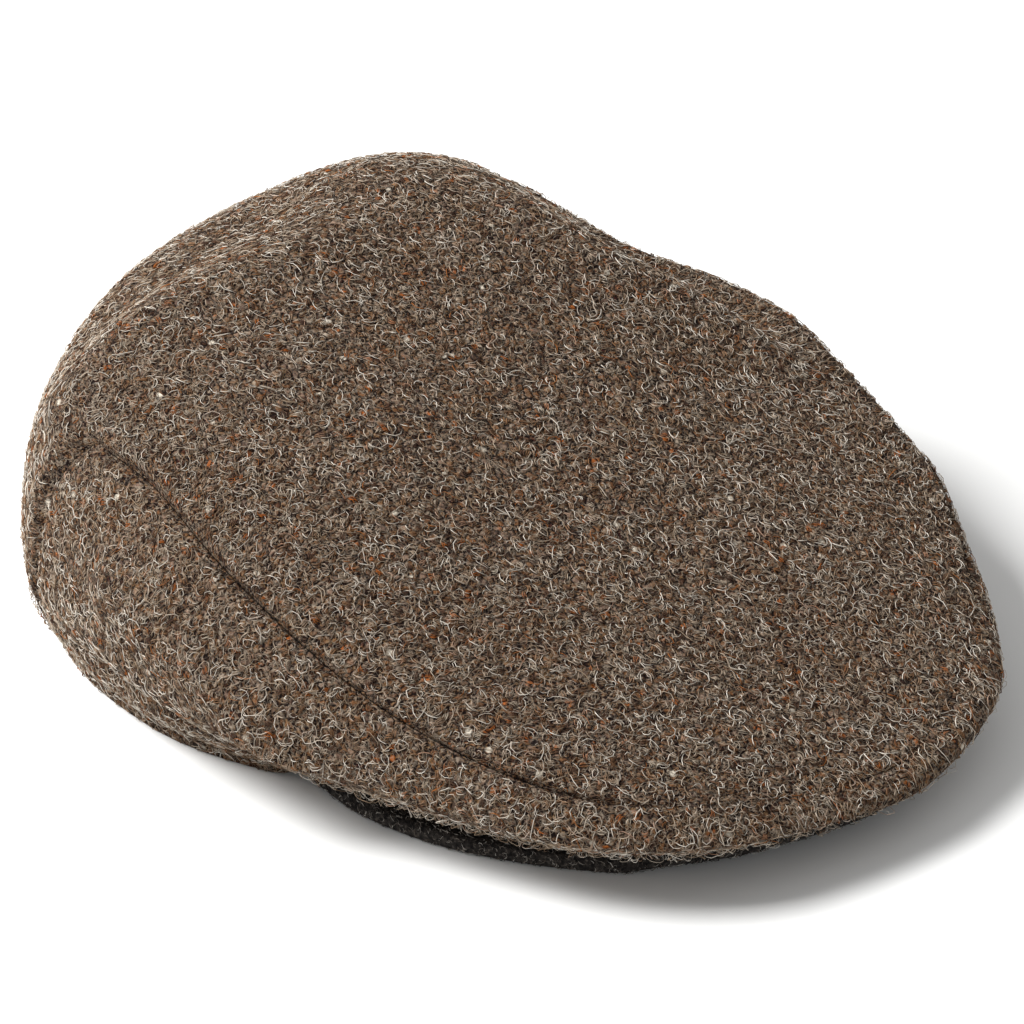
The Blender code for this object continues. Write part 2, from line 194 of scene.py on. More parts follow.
LIP_TURNS = 3.6         # how far round from the front the loose loops of the lip reach
LIP_OUT = (1.12, 1.55)  # and over which part of the unrolled plane
TRIES = 3               # places tried for each fibre that is wanted
MOST_AREA = 0.03        # square metres of skin for each unit of the unrolled plane, at most
PEAK_SHOWN = 0.012      # width of the peak's upper side, from its rim, that carries fibres
PEAK_RIM_UNDER = 0.0062 # how far round the rim they reach from there


def smooth_step(x):
    x = np.clip(x, 0, 1)
    return x * x * (3 - 2 * x)


def through(values, place, closed=False):
    """A smooth curve through the rows of a table, read at fractional row numbers."""
    values = np.asarray(values, float)
    last = len(values)
    row = np.floor(place).astype(int)
    if not closed:
        row = np.clip(row, 0, last - 2)
    share = (place - row)[..., None]
    near = []
    for step in (-1, 0, 1, 2):
        near.append(values[(row + step) % last] if closed else values[np.clip(row + step, 0, last - 1)])
    a, b, c, d = near
    bend = 2 * a - 5 * b + 4 * c - d
    turn = 3 * b - a - 3 * c + d
    return 0.5 * (2 * b + (c - a) * share + bend * share ** 2 + turn * share ** 3)


def bezier(a, b, c, d, share):
    share = share[..., None]
    rest = 1 - share
    return a * rest ** 3 + 3 * b * share * rest ** 2 + 3 * c * share ** 2 * rest + d * share ** 3


def unit(vectors):
    return vectors / np.maximum(np.linalg.norm(vectors, axis=-1, keepdims=True), TINY)


def lengths(points):
    """Length along a line of points up to each of them."""
    return np.r_[0, np.cumsum(np.linalg.norm(np.diff(points, axis=0), axis=1))]


def point_at(places, length, curve):
    """Points at these lengths along a flat curve."""
    return np.stack([np.interp(places, length, curve[:, 0]), np.interp(places, length, curve[:, 1])], -1)


# The skin

def peak_rise(x, y):
    """Height of the peak's under side over the floor."""
    across = np.clip(1 - (x / PEAK_ARCH_HALF) ** 2, 0, 1)
    front = (PEAK[0].out_along - 0.5) * CAP_LENGTH
    inner = (PEAK[0].in_along - 0.5) * CAP_LENGTH
    inward = np.clip((y - front) / (inner - front), 0, 1)
    return PEAK_RISE * across * (PEAK_LIP_RISE + (1 - PEAK_LIP_RISE) * inward)


def hem_height(x, y):
    """The hem lies on the floor behind and over the peak in front."""
    over = peak_rise(x, y) + PEAK_THICK + PEAK_CLEAR
    climb = smooth_step((CLIMB_FROM - y) / (CLIMB_FROM - CLIMB_TO))
    return climb * over + (1 - climb) * HEM_LIFT


def to_plane(turn, out):
    """The cap's skin unrolled flat: the middle at 0, the widest edge at 1, the hem at 2."""
    angle = np.asarray(turn) * 2 * np.pi / TURNS
    return np.stack([out * np.sin(angle), -out * np.cos(angle)], -1)


def turn_of(plane):
    return np.arctan2(plane[..., 0], -plane[..., 1]) * TURNS / (2 * np.pi)


def plain_skin(plane):
    """Points of the outer skin over the unrolled plane, before its folds."""
    out = np.hypot(plane[..., 0], plane[..., 1])
    one_side = [section[1:] for section in SECTIONS]
    other = [(-row[0],) + row[1:] for row in one_side[-2:0:-1]]
    ring = np.moveaxis(through(one_side + other, turn_of(plane) % TURNS, closed=True), -1, 0)
    across, along, edge_up, flat, shoulder, lean, tuck, roll = ring
    half = CAP_WIDTH / 2
    edge = np.stack([across * half, (along - 0.5) * CAP_LENGTH, edge_up * CAP_HEIGHT], -1)
    middle = np.array([0, (MIDDLE_ALONG - 0.5) * CAP_LENGTH, MIDDLE_UP * CAP_HEIGHT])
    reach = edge - middle
    top_start = middle + reach * flat[..., None]
    top_start[..., 2] = middle[2] + TOP_SLOPE * (top_start[..., 1] - middle[1])
    top_end = edge.copy()
    top_end[..., :2] -= reach[..., :2] * lean[..., None]
    top_end[..., 2] += shoulder * CAP_HEIGHT
    top = bezier(middle, top_start, top_end, edge, np.clip(out, 0, 1))
    inward = -unit(reach[..., :2])
    hem = edge.copy()
    hem[..., :2] += inward * (tuck * half)[..., None]
    hem[..., 2] = hem_height(hem[..., 0], hem[..., 1])
    drop = (edge - hem) * np.array([0, 0, 1.0])
    low = bezier(edge, edge - roll[..., None] * drop, hem + HEM_UPRIGHT * drop, hem, np.clip(out - 1, 0, 1))
    return np.where((out <= 1)[..., None], top, low)


def slopes(plane, step=SLOPE_STEP):
    """How the plain skin runs along the two directions of the unrolled plane."""
    over_x = np.array([step, 0.0])
    over_y = np.array([0.0, step])
    along_x = (plain_skin(plane + over_x) - plain_skin(plane - over_x)) / (2 * step)
    along_y = (plain_skin(plane + over_y) - plain_skin(plane - over_y)) / (2 * step)
    return along_x, along_y


def fold_lift(plane):
    """How far the folds lift the skin out at points of the unrolled plane."""
    lift = np.zeros(plane.shape[:-1])
    for fold in FOLDS:
        start = to_plane(fold.turn_1, fold.out_1) * (fold.side, 1)
        end = to_plane(fold.turn_2, fold.out_2) * (fold.side, 1)
        line = end - start
        share = np.clip(((plane - start) @ line) / (line @ line), 0, 1)
        away = np.linalg.norm(plane - start - share[..., None] * line, axis=-1)
        lift += fold.lift * np.exp(-(away / fold.reach) ** 2)
    return lift


def seam_line(table, first_turn=0.0, last_turn=TURNS / 2):
    """Part of the seam on the wearer's left, in the unrolled plane."""
    rows = [(row.turn, row.out) for row in table]
    dense = through(rows, np.linspace(0, len(rows) - 1, SEAM_POINTS))
    dense = dense[(dense[:, 0] >= first_turn - SLACK) & (dense[:, 0] <= last_turn + SLACK)]
    return to_plane(dense[:, 0], dense[:, 1])


def on_top_panel(plane):
    """True inside the seam, and behind it at the back."""
    turn = np.abs(turn_of(plane))
    out = np.hypot(plane[..., 0], plane[..., 1])
    side = seam_line(SIDE_SEAM)
    back = seam_line(BACK_SEAM)
    side_turn = turn_of(side)
    side_out = np.hypot(side[:, 0], side[:, 1])
    back_out = np.hypot(back[:, 0], back[:, 1])
    corner = side_turn[-1]
    inside = out < np.interp(turn, side_turn, side_out)
    behind = turn > np.interp(out, back_out, turn_of(back))
    return np.where(turn < corner, inside, behind | (out < side_out[-1]))


def from_seam(plane):
    """How far points of the unrolled plane lie from the seam."""
    lines = np.concatenate([seam_line(SIDE_SEAM), seam_line(BACK_SEAM)])
    places = plane.reshape(-1, 2).copy()
    places[:, 0] = np.abs(places[:, 0])
    away = np.full(len(places), FAR)
    for start, end in zip(lines[:-1:SEAM_STRIDE], lines[SEAM_STRIDE::SEAM_STRIDE]):
        line = end - start
        share = np.clip(((places - start) @ line) / (line @ line + TINY), 0, 1)
        away = np.minimum(away, np.linalg.norm(places - start - share[:, None] * line, axis=1))
    return away.reshape(plane.shape[:-1])


def seam_share(plane):
    """How much of the sewing's full depth shows: little in front, all of it at the sides and behind."""
    start, end = SEAM_GROWS
    grown = smooth_step((np.abs(turn_of(plane)) - start) / (end - start))
    return SEAM_FRONT_SHARE + (1 - SEAM_FRONT_SHARE) * grown


def seam_lift(plane):
    """The groove of the sewing, and the ridge of the turned cloth beside it."""
    away = from_seam(plane)
    groove = -GROOVE_DEPTH * np.exp(-(away / GROOVE_REACH) ** 2)
    ridge = RIDGE_HEIGHT * np.exp(-((away - RIDGE_AWAY) / RIDGE_REACH) ** 2)
    return seam_share(plane) * (groove + np.where(on_top_panel(plane), ridge, 0))


def skin(plane, over=0):
    """Points of the outer skin, or over it."""
    out = np.hypot(plane[..., 0], plane[..., 1])
    keep = smooth_step((HEM - out) / FOLDS_END)
    folded = unit(np.cross(*slopes(plane, FOLD_SLOPE_STEP))) * (fold_lift(plane) * keep)[..., None]
    sewn = unit(np.cross(*slopes(plane))) * (seam_lift(plane) * keep + over)[..., None]
    return plain_skin(plane) + folded + sewn + np.array([MOVED_LEFT, MOVED_BACK, 0])


# Grids over the skin

def graded(length):
    """Places along a length: small steps at both ends, even ones between."""
    ends = np.cumsum(NARROW_STEPS)
    count = max(2, round((length - 2 * ends[-1]) / SKIN_STEP))
    inner = np.linspace(ends[-1], length - ends[-1], count + 1)
    return np.r_[0, ends[:-1], inner, length - ends[-2::-1], length]


def stepped(curve, places=None):
    """The curve's points moved to graded steps along the skin."""
    length = lengths(skin(curve))
    at = graded(length[-1]) if places is None else places * length[-1]
    return point_at(at, length, curve)


def mirrored(curve):
    return curve * np.array([-1, 1])


def seam_parts():
    """The seam on the wearer's left: round the front, along the side and down the back."""
    front_half = seam_line(SIDE_SEAM, last_turn=FRONT_CORNER_TURN)
    front = stepped(np.concatenate([mirrored(front_half)[:0:-1], front_half]))
    side = seam_line(SIDE_SEAM, first_turn=FRONT_CORNER_TURN)
    side = stepped(np.concatenate([front[-1:], side[1:]]))
    back = stepped(seam_line(BACK_SEAM))
    back[0] = side[-1]
    return front, side, back


WHOLE = slice(None)
TOP_SEWN = (((0, WHOLE), (1, WHOLE)), ((WHOLE, 0), (WHOLE, 1)), ((WHOLE, -1), (WHOLE, -2)))
BAND_SEWN = (((WHOLE, 0), (WHOLE, 1)), ((0, WHOLE), (1, WHOLE)), ((-1, WHOLE), (-2, WHOLE)))


def pull_in(points, sewn):
    """Moves the grid's sewn rims off the seam by half the gap, towards the next points in."""
    moved = points.copy()
    for rim, inner in sewn:
        moved[rim] = moved[rim] + unit(points[inner] - points[rim]) * SEAM_GAP / 2
    return moved


def top_grid():
    """Grid of the top panel, a row from side to side at each point of the side seam and the back seam."""
    front, side, back = seam_parts()
    left = np.concatenate([side, back[1:]])
    right = mirrored(left)
    across = lengths(skin(front))
    across = across / across[-1]
    turn_at_hem = np.linspace(TURNS - BACK_SEAM[-1].turn, BACK_SEAM[-1].turn, HEM_POINTS)
    hem = stepped(to_plane(turn_at_hem, np.full(HEM_POINTS, HEM)), across)
    across = across[None, :, None]
    down = lengths(skin(left))
    down = (down / down[-1])[:, None, None]
    rows = right[:, None] * (1 - across) + left[:, None] * across
    front_bow = front[None] - front[0] * (1 - across) - front[-1] * across
    hem_bow = hem[None] - hem[0] * (1 - across) - hem[-1] * across
    return rows + front_bow * (1 - down) ** BOW_FADE + hem_bow * down ** BOW_FADE


def band_grid():
    """Grid of the side band, a column from the seam to the hem at each point of the side and front seams."""
    front, side, back = seam_parts()
    upper = np.concatenate([mirrored(side)[:0:-1], front, side[1:]])
    turn = turn_of(upper)
    out = np.hypot(upper[:, 0], upper[:, 1])
    back_turn = turn_of(back)
    back_out = np.hypot(back[:, 0], back[:, 1])
    reach = turn / back_turn[0]
    share = (back_out - back_out[0]) / (back_out[-1] - back_out[0])
    column_turn = turn[:, None] + reach[:, None] * (back_turn - back_turn[0])
    column_out = out[:, None] + (HEM - out[:, None]) * share
    return to_plane(column_turn, column_out)


def peak_plan():
    """Outer and inner edge of the peak in plan, at even steps along its outer edge."""
    one_side = np.array([row[1:] for row in PEAK])
    other = one_side[:0:-1] * (-1, 1, -1, 1)
    rows = np.concatenate([other, one_side])
    dense = through(rows, np.linspace(0, len(rows) - 1, PEAK_POINTS))
    scale = np.array([CAP_WIDTH / 2, CAP_LENGTH])
    outer = (dense[:, :2] - (0, 0.5)) * scale
    inner = (dense[:, 2:] - (0, 0.5)) * scale
    length = lengths(outer)
    at = np.linspace(0, length[-1], round(length[-1] / PEAK_STEP) + 1)
    return point_at(at, length, outer), point_at(at, length, inner)


# Meshes

def grid_quads(number):
    corners = [number[:-1, :-1], number[1:, :-1], number[1:, 1:], number[:-1, 1:]]
    return np.stack(corners, -1).reshape(-1, 4)


def place_piece(mesh, made_of):
    """Puts a finished mesh in the scene as a piece that stays with the cap."""
    mesh.shade_smooth()
    mesh.materials.append(made_of)
    piece = bpy.data.objects.new(mesh.name, mesh)
    bpy.context.scene.collection.objects.link(piece)
    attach(piece, "root")
    return piece


def new_piece(name, points, faces, made_of):
    mesh = bpy.data.meshes.new(name)
    mesh.from_pydata(points.reshape(-1, 3).tolist(), [], faces)
    return place_piece(mesh, made_of)


def add_cloth_map(piece, places):
    """Lengths along the cloth as a UV map, in metres, one pair for each vertex."""
    mesh = piece.data
    corner = np.zeros(len(mesh.loops), np.int32)
    mesh.loops.foreach_get("vertex_index", corner)
    layer = mesh.uv_layers.new(name="cloth_length")
    layer.data.foreach_set("uv", places[corner].astype(np.float32).ravel())


def cloth_lengths(points):
    """Lengths along the rows from their middle, and down the middle column."""
    steps = np.linalg.norm(np.diff(points, axis=1), axis=-1)
    across = np.concatenate([np.zeros((len(points), 1)), np.cumsum(steps, axis=1)], 1)
    across = across - across[:, -1:] / 2
    down = lengths(points[:, points.shape[1] // 2])
    return np.stack([across, np.broadcast_to(down[:, None], across.shape)], -1)


def cloth_wall(name, plane, sewn, made_of):
    """A closed wall of cloth over a grid in the unrolled plane: outer and inner face and four cut edges."""
    outer = pull_in(skin(plane), sewn)
    inner = pull_in(skin(plane, -CLOTH), sewn)
    inner[..., 2] = np.maximum(inner[..., 2], HEM_LIFT)
    rows, columns = outer.shape[:2]
    number = np.arange(rows * columns).reshape(rows, columns)
    under = number + rows * columns
    quads = [grid_quads(number), grid_quads(under)[:, ::-1]]
    for edge, low in ((number[0], under[0]), (number[:, -1], under[:, -1]),
                      (number[-1, ::-1], under[-1, ::-1]), (number[::-1, 0], under[::-1, 0])):
        quads.append(np.stack([edge[:-1], edge[1:], low[1:], low[:-1]], -1))
    quads = np.concatenate(quads)
    points = np.concatenate([outer.reshape(-1, 3), inner.reshape(-1, 3)])
    corners = outer[2:4, 2:4].reshape(4, 3)
    facing = np.cross(corners[2] - corners[0], corners[1] - corners[0])
    if facing @ (outer[2, 2] - inner[2, 2]) < 0:
        quads = quads[:, ::-1]
    piece = new_piece(name, points, quads.tolist(), made_of)
    places = cloth_lengths(outer).reshape(-1, 2)
    add_cloth_map(piece, np.concatenate([places, places]))
    return piece


def peak_board(name, made_of):
    """The peak: a flat arched board with round rims, made of sections from tip to tip."""
    outer, inner = peak_plan()
    half = PEAK_THICK / 2
    width = np.linalg.norm(outer - inner, axis=1, keepdims=True)
    inward = unit(inner - outer)
    flat = half + np.linspace(0, 1, PEAK_FLAT_STEPS) * (width - 2 * half)
    round_angle = np.linspace(-np.pi / 2, np.pi / 2, RIM_STEPS)[1:-1]
    round_in = half * np.cos(round_angle)
    round_up = np.broadcast_to(half + half * np.sin(round_angle), (len(width), len(round_angle)))
    depth = np.concatenate([flat[:, ::-1], half - round_in + 0 * width,
                            flat, width - half + round_in[::-1]], 1)
    up = np.concatenate([np.zeros_like(flat), round_up,
                         np.full_like(flat, PEAK_THICK), round_up[:, ::-1]], 1)
    plan = outer[:, None] + inward[:, None] * depth[..., None]
    height = peak_rise(plan[..., 0], plan[..., 1]) + up
    points = np.concatenate([plan + (MOVED_LEFT, MOVED_BACK), height[..., None]], -1)
    stations, ring = points.shape[:2]
    number = np.arange(stations * ring).reshape(stations, ring)
    around = np.concatenate([number, number[:, :1]], 1)
    ends = [number[0].tolist(), number[-1, ::-1].tolist()]
    return new_piece(name, points, grid_quads(around).tolist() + ends, made_of)


# Fibres

def scatter(random, count, home):
    """Places in the unrolled plane, as many over each part of the real surface."""
    found = []
    have = 0
    while have < count:
        plane = random.uniform(-HEM, HEM, (count * TRIES, 2))
        plane = plane[np.hypot(plane[:, 0], plane[:, 1]) < HEM]
        at_home = on_top_panel(plane) == (home == "top")
        plane = plane[at_home & (from_seam(plane) > SEAM_BARE * seam_share(plane))]
        if home == "lip":
            out = np.hypot(plane[:, 0], plane[:, 1])
            at_lip = (np.abs(turn_of(plane)) < LIP_TURNS) & (out > LIP_OUT[0]) & (out < LIP_OUT[1])
            plane = plane[at_lip]
        area = np.linalg.norm(np.cross(*slopes(plane)), axis=-1)
        kept = plane[random.uniform(0, MOST_AREA, len(plane)) < area]
        found.append(kept)
        have += len(kept)
    return np.concatenate(found)[:count]


def fibre_walks(random, strands):
    """Curled paths of the fibres, laid flat round their middles; those of a bunch run side by side."""
    count = strands.count
    steps = strands.nodes - 1
    bunches = count // strands.bunch
    heading = np.repeat(random.uniform(0, 2 * np.pi, bunches), strands.bunch)
    curl = strands.curl * random.uniform(*CURL_RANGE, bunches) * random.choice((-1, 1), bunches)
    curl = np.repeat(curl, strands.bunch)
    size = strands.length * random.uniform(*LENGTH_RANGE, count)[:, None]
    share = (np.arange(steps) + 0.5) / steps - 0.5
    angle = heading[:, None] + curl[:, None] * share + random.normal(0, UNEVEN_TURN / steps, (count, steps))
    move = np.stack([np.cos(angle), np.sin(angle)], -1) * (size / steps)[..., None]
    walk = np.concatenate([np.zeros((count, 1, 2)), np.cumsum(move, axis=1)], 1)
    walk = walk - walk.mean(1, keepdims=True)
    beside = (np.arange(count) % strands.bunch - (strands.bunch - 1) / 2) * BUNCH_STEP * strands.width
    side = np.stack([-np.sin(heading), np.cos(heading)], -1)
    return walk + (side * beside[:, None])[:, None]


def fibre_lifts(random, strands):
    """How far each fibre stands off what it lies on, along its length."""
    count, nodes = strands.count, strands.nodes
    arch = np.sin(np.linspace(*LOOP_ARC, nodes))
    lift = strands.lift * random.uniform(*LIFT_RANGE, count)[:, None] * arch
    return lift + random.normal(0, UNEVEN_LIFT / (nodes - 1), (count, nodes)) * strands.lift


def cloth_fibres(random, strands):
    """Middle lines of curled fibres that lie over the skin, and the skin's normals along them."""
    start = np.repeat(scatter(random, strands.count // strands.bunch, strands.home), strands.bunch, axis=0)
    short, full = SEAM_SHORT
    shorter = np.clip((from_seam(start) - short) / (full - short), SEAM_SHORTEST, 1)
    shorter = 1 - seam_share(start) * (1 - shorter)
    walk = fibre_walks(random, strands) * shorter[:, None, None]
    along_x, along_y = slopes(start)
    first = unit(along_x)
    second = unit(np.cross(np.cross(along_x, along_y), first))
    a = (along_x * first).sum(-1)
    b = (along_y * first).sum(-1)
    d = (along_y * second).sum(-1)
    plane_y = walk[..., 1] / d[:, None]
    plane_x = (walk[..., 0] - b[:, None] * plane_y) / a[:, None]
    plane = start[:, None] + np.stack([plane_x, plane_y], -1)
    normal = unit(np.cross(*slopes(plane)))
    return skin(plane, fibre_lifts(random, strands)), normal


def peak_fibres(random, strands):
    """Middle lines of short fibres round the peak's rim and on top beside it, and the normals along them."""
    outer, inner = peak_plan()
    inward = unit(inner - outer)
    length = lengths(outer)
    walk = fibre_walks(random, strands)
    at = random.uniform(0, length[-1], strands.count)[:, None] + walk[..., 0]
    over = random.uniform(-PEAK_RIM_UNDER, PEAK_SHOWN, strands.count)[:, None] + walk[..., 1]
    half = PEAK_THICK / 2
    angle = np.clip(over / half, -np.pi, 0)
    away = half + fibre_lifts(random, strands)
    depth = half + np.maximum(over, 0) + np.sin(angle) * away
    up = half + np.cos(angle) * away
    way = unit(point_at(at, length, inward))
    plan = point_at(at, length, outer) + way * depth[..., None]
    height = peak_rise(plan[..., 0], plan[..., 1]) + up
    line = np.concatenate([plan + (MOVED_LEFT, MOVED_BACK), height[..., None]], -1)
    return line, np.concatenate([way * np.sin(angle)[..., None], np.cos(angle)[..., None]], -1)


def fibre_faces(rings):
    """Triangles of one three-sided fibre with this many rings between its two pointed ends."""
    tip = 1 + rings * 3
    last = tip - 3
    faces = []
    for corner in range(3):
        following = (corner + 1) % 3
        faces.append((0, 1 + following, 1 + corner))
        faces.append((tip, last + corner, last + following))
        for ring in range(rings - 1):
            a = 1 + ring * 3 + corner
            b = 1 + ring * 3 + following
            faces.append((a, b, b + 3))
            faces.append((a, b + 3, a + 3))
    return np.array(faces)


def triangle_mesh(name, points, faces):
    mesh = bpy.data.meshes.new(name)
    mesh.vertices.add(len(points))
    mesh.vertices.foreach_set("co", points.astype(np.float32).ravel())
    mesh.loops.add(faces.size)
    mesh.loops.foreach_set("vertex_index", faces.astype(np.int32).ravel())
    mesh.polygons.add(len(faces))
    mesh.polygons.foreach_set("loop_start", np.arange(0, faces.size, 3, dtype=np.int32))
    mesh.update(calc_edges=True)
    return mesh


def fibre_piece(strands, made_of, seed):
    """Closed three-sided tapering fibres, all in one mesh."""
    random = np.random.default_rng(seed)
    line, normal = (peak_fibres if strands.home == "peak" else cloth_fibres)(random, strands)
    count = len(line)
    along = unit(np.gradient(line, axis=1))
    side = unit(np.cross(along, normal))
    up = np.cross(side, along)
    width = strands.width * random.uniform(*WIDTH_RANGE, count)[:, None, None]
    rings = []
    for corner in range(3):
        angle = np.pi / 2 + corner * 2 * np.pi / 3
        offset = side * np.cos(angle) + up * np.sin(angle)
        rings.append(line[:, 1:-1] + offset[:, 1:-1] * width / 2)
    rings = np.stack(rings, 2).reshape(count, -1, 3)
    points = np.concatenate([line[:, :1], rings, line[:, -1:]], 1)
    points[..., 2] = np.maximum(points[..., 2], HEM_LIFT)
    per = points.shape[1]
    faces = fibre_faces(strands.nodes - 2) + np.arange(count)[:, None, None] * per
    mesh = triangle_mesh(strands.name, points.reshape(-1, 3), faces.reshape(-1, 3))
    tone = mesh.attributes.new("strand_tone", "FLOAT", "POINT")
    tones = np.repeat(random.uniform(0, 1, count // strands.bunch), strands.bunch * per)
    tone.data.foreach_set("value", tones.astype(np.float32))
    return place_piece(mesh, made_of)


# Materials

# Colours as linear values
# Painted shade: a near-black colour laid in the gaps between the yarn's humps
GAP_PAINTED_SHADE = (0.006, 0.0032, 0.0028, 1)
FIBRE_GREY = (0.300, 0.240, 0.180, 1)
FIBRE_BROWN = (0.190, 0.110, 0.052, 1)
RUST = (0.260, 0.070, 0.012, 1)
MAROON = (0.030, 0.007, 0.005, 1)
CREAM = (0.560, 0.500, 0.410, 1)
PEAK_DARK = (0.009, 0.008, 0.008, 1)
PEAK_LIGHT = (0.050, 0.043, 0.038, 1)
PEAK_THREAD = (0.170, 0.150, 0.130, 1)

# Tones along a scale of random values from 0 to 1, each blending into the next
Tone = namedtuple("Tone", "name at colour")
YARN_TONES = (
    Tone("dark_brown", 0.00, (0.016, 0.0078, 0.0056, 1)),
    Tone("brown", 0.32, (0.045, 0.0205, 0.0120, 1)),
    Tone("gold_brown", 0.60, (0.115, 0.051, 0.0210, 1)),
    Tone("grey_brown", 0.80, (0.072, 0.046, 0.035, 1)),
    Tone("tan", 0.94, (0.160, 0.102, 0.072, 1)),
    Tone("dark", 1.00, (0.009, 0.006, 0.006, 1)),
)
STROKE_TONES = (
    Tone("dark_brown", 0.00, (0.040, 0.021, 0.0145, 1)),
    Tone("brown", 0.20, (0.108, 0.057, 0.034, 1)),
    Tone("gold_brown", 0.42, (0.200, 0.104, 0.050, 1)),
    Tone("tan", 0.62, (0.275, 0.197, 0.138, 1)),
    Tone("grey", 0.86, (0.360, 0.310, 0.245, 1)),
    Tone("rust", 0.97, (0.250, 0.075, 0.016, 1)),
)
FIBRE_TONES = (
    Tone("brown", 0.00, (0.135, 0.077, 0.047, 1)),
    Tone("tan", 0.20, (0.275, 0.200, 0.132, 1)),
    Tone("beige", 0.42, (0.410, 0.334, 0.256, 1)),
    Tone("grey", 0.66, (0.465, 0.410, 0.348, 1)),
    Tone("light", 0.90, (0.700, 0.650, 0.570, 1)),
    Tone("rust", 0.98, (0.250, 0.085, 0.020, 1)),
)
PEAK_FIBRE_TONES = (
    Tone("black", 0.00, (0.012, 0.010, 0.010, 1)),
    Tone("dark_grey", 0.30, (0.055, 0.047, 0.042, 1)),
    Tone("brown_grey", 0.55, (0.160, 0.132, 0.110, 1)),
    Tone("grey", 0.80, (0.360, 0.330, 0.295, 1)),
    Tone("light", 1.00, (0.620, 0.590, 0.540, 1)),
)

# Specks in the yarn: their size, the share of places without one, and how fully they cover the yarn
Fleck = namedtuple("Fleck", "name size rare cover colour")
RUST_FLECK = Fleck("rust", 0.0030, 0.93, 0.85, RUST)
MAROON_FLECK = Fleck("maroon", 0.0034, 0.95, 0.85, MAROON)
CREAM_FLECK = Fleck("cream", 0.0021, 0.988, 1.0, CREAM)

# Webs of fibres drawn on the cloth: the size of their curls and how thin the lines are
Web = namedtuple("Web", "name curl_size thin")
BROWN_WEB = Web("brown", 0.0019, 30.0)
WIDE_WEB = Web("wide", 0.0023, 26.0)
TIGHT_WEB = Web("tight", 0.0016, 22.0)
PEAK_WEB = Web("peak", 0.0012, 20.0)
WEB_BENT = 0.6          # how strongly the curls are bent out of round
WEB_HEIGHT = 0.4        # how high the drawn fibres lie, as a share of the yarn's humps
BROWN_COVER = 0.8       # how fully they cover what lies under them
GREY_COVER = 0.9

WOOL_SHINE = 0.12       # wool scatters light and hardly mirrors it
YARN_PITCH = 0.0020     # length of a hump of yarn
YARN_WANDER = 1.8       # how far the rows of humps wander, in pitches
WANDER_WAVES = 0.5      # waves of that wander in each pitch
NOISE_MIDDLE = 0.5      # the middle of the values that a noise takes
WEAVE_DEPTH = 0.0006
WEAVE_STRENGTH = 0.8
PEAK_NAP_DEPTH = 0.0003
PEAK_NAP_STRENGTH = 0.7
PEAK_ROUGHNESS = 0.95
FIBRE_ROUGHNESS = 0.75
SECOND_AWAY = (0.31, 0.17, 0.05)    # so that patterns laid over each other don't repeat each other
THIRD_AWAY = (0.07, 0.41, 0.23)

# Soft patches: how many fit in a metre, and in how much detail
Noise = namedtuple("Noise", "scale detail")
STREAK_NOISE = Noise(1100.0, 2.0)   # light and dark streaks within the yarn
THINNING_NOISE = Noise(420.0, 1.0)  # more and fewer drawn fibres
PEAK_NOISE = Noise(900.0, 2.0)
FIBRE_NOISE = Noise(700.0, 1.0)

# Fades: what runs from low to high turns into what runs from start to end
Fade = namedtuple("Fade", "low high start end")
WEB_LINE = Fade(0.0, 1.0, 1.0, 0.0)         # from the middle of a drawn fibre to its edge
HUMP_HEIGHT = Fade(0.0, 0.30, 0.0, 1.0)     # from the edge of a hump of yarn to its middle
HUMP_GAP_PAINTED_SHADE = Fade(0.15, 0.75, 1.0, 0.0)       # how dark it is beside the hump
# how much painted shade lies in the gap beside a hump, from the hump's height
STREAK_SHADE = Fade(0.35, 0.65, 0.35, 1.5)  # share of the yarn's brightness
FLECK_EDGE = Fade(0.25, 0.55, 1.0, 0.0)
THINNING = Fade(0.38, 0.60, 0.30, 1.0)      # share of the drawn fibres that is left
TWEED_ROUGHNESS = Fade(0.0, 1.0, 0.98, 0.80)    # from bare yarn to the drawn fibres
PEAK_PATCH = Fade(0.35, 0.75, 0.0, 1.0)
PEAK_COVER = Fade(0.48, 0.62, 0.05, 0.8)    # how fully the peak's drawn fibres cover it
FIBRE_SHADE = Fade(0.3, 0.7, 0.75, 1.15)    # share of a fibre's brightness


def node(tree, kind, inputs=(), **settings):
    made = tree.nodes.new(kind)
    for key, value in settings.items():
        setattr(made, key, value)
    for key, value in dict(inputs).items():
        socket = made.inputs[key]
        if isinstance(value, bpy.types.NodeSocket):
            tree.links.new(value, socket)
        else:
            socket.default_value = value
    return made


def calc(tree, operation, first, second=0.0):
    return node(tree, "ShaderNodeMath", {0: first, 1: second}, operation=operation).outputs[0]


def moved_by(tree, place, away):
    return node(tree, "ShaderNodeVectorMath", {0: place, 1: away}, operation="ADD").outputs[0]


def noise_value(tree, place, scale, detail):
    return node(tree, "ShaderNodeTexNoise", {"Vector": place, "Scale": scale, "Detail": detail}).outputs[0]


def blend(tree, factor, first, second, kind="MIX"):
    made = node(tree, "ShaderNodeMix", {0: factor, 6: first, 7: second}, data_type="RGBA", blend_type=kind)
    return made.outputs[2]


def fade(tree, value, low, high, start, end):
    inputs = {"Value": value, "From Min": low, "From Max": high, "To Min": start, "To Max": end}
    return node(tree, "ShaderNodeMapRange", inputs).outputs[0]


def group(name, inputs, outputs):
    tree = bpy.data.node_groups.new(name, "ShaderNodeTree")
    for label, kind in inputs:
        tree.interface.new_socket(label, in_out="INPUT", socket_type=kind)
    for label in outputs:
        tree.interface.new_socket(label, in_out="OUTPUT", socket_type="NodeSocketFloat")
    start = tree.nodes.new("NodeGroupInput")
    end = tree.nodes.new("NodeGroupOutput")
    return tree, start.outputs, end.inputs


VECTOR, FLOAT = "NodeSocketVector", "NodeSocketFloat"


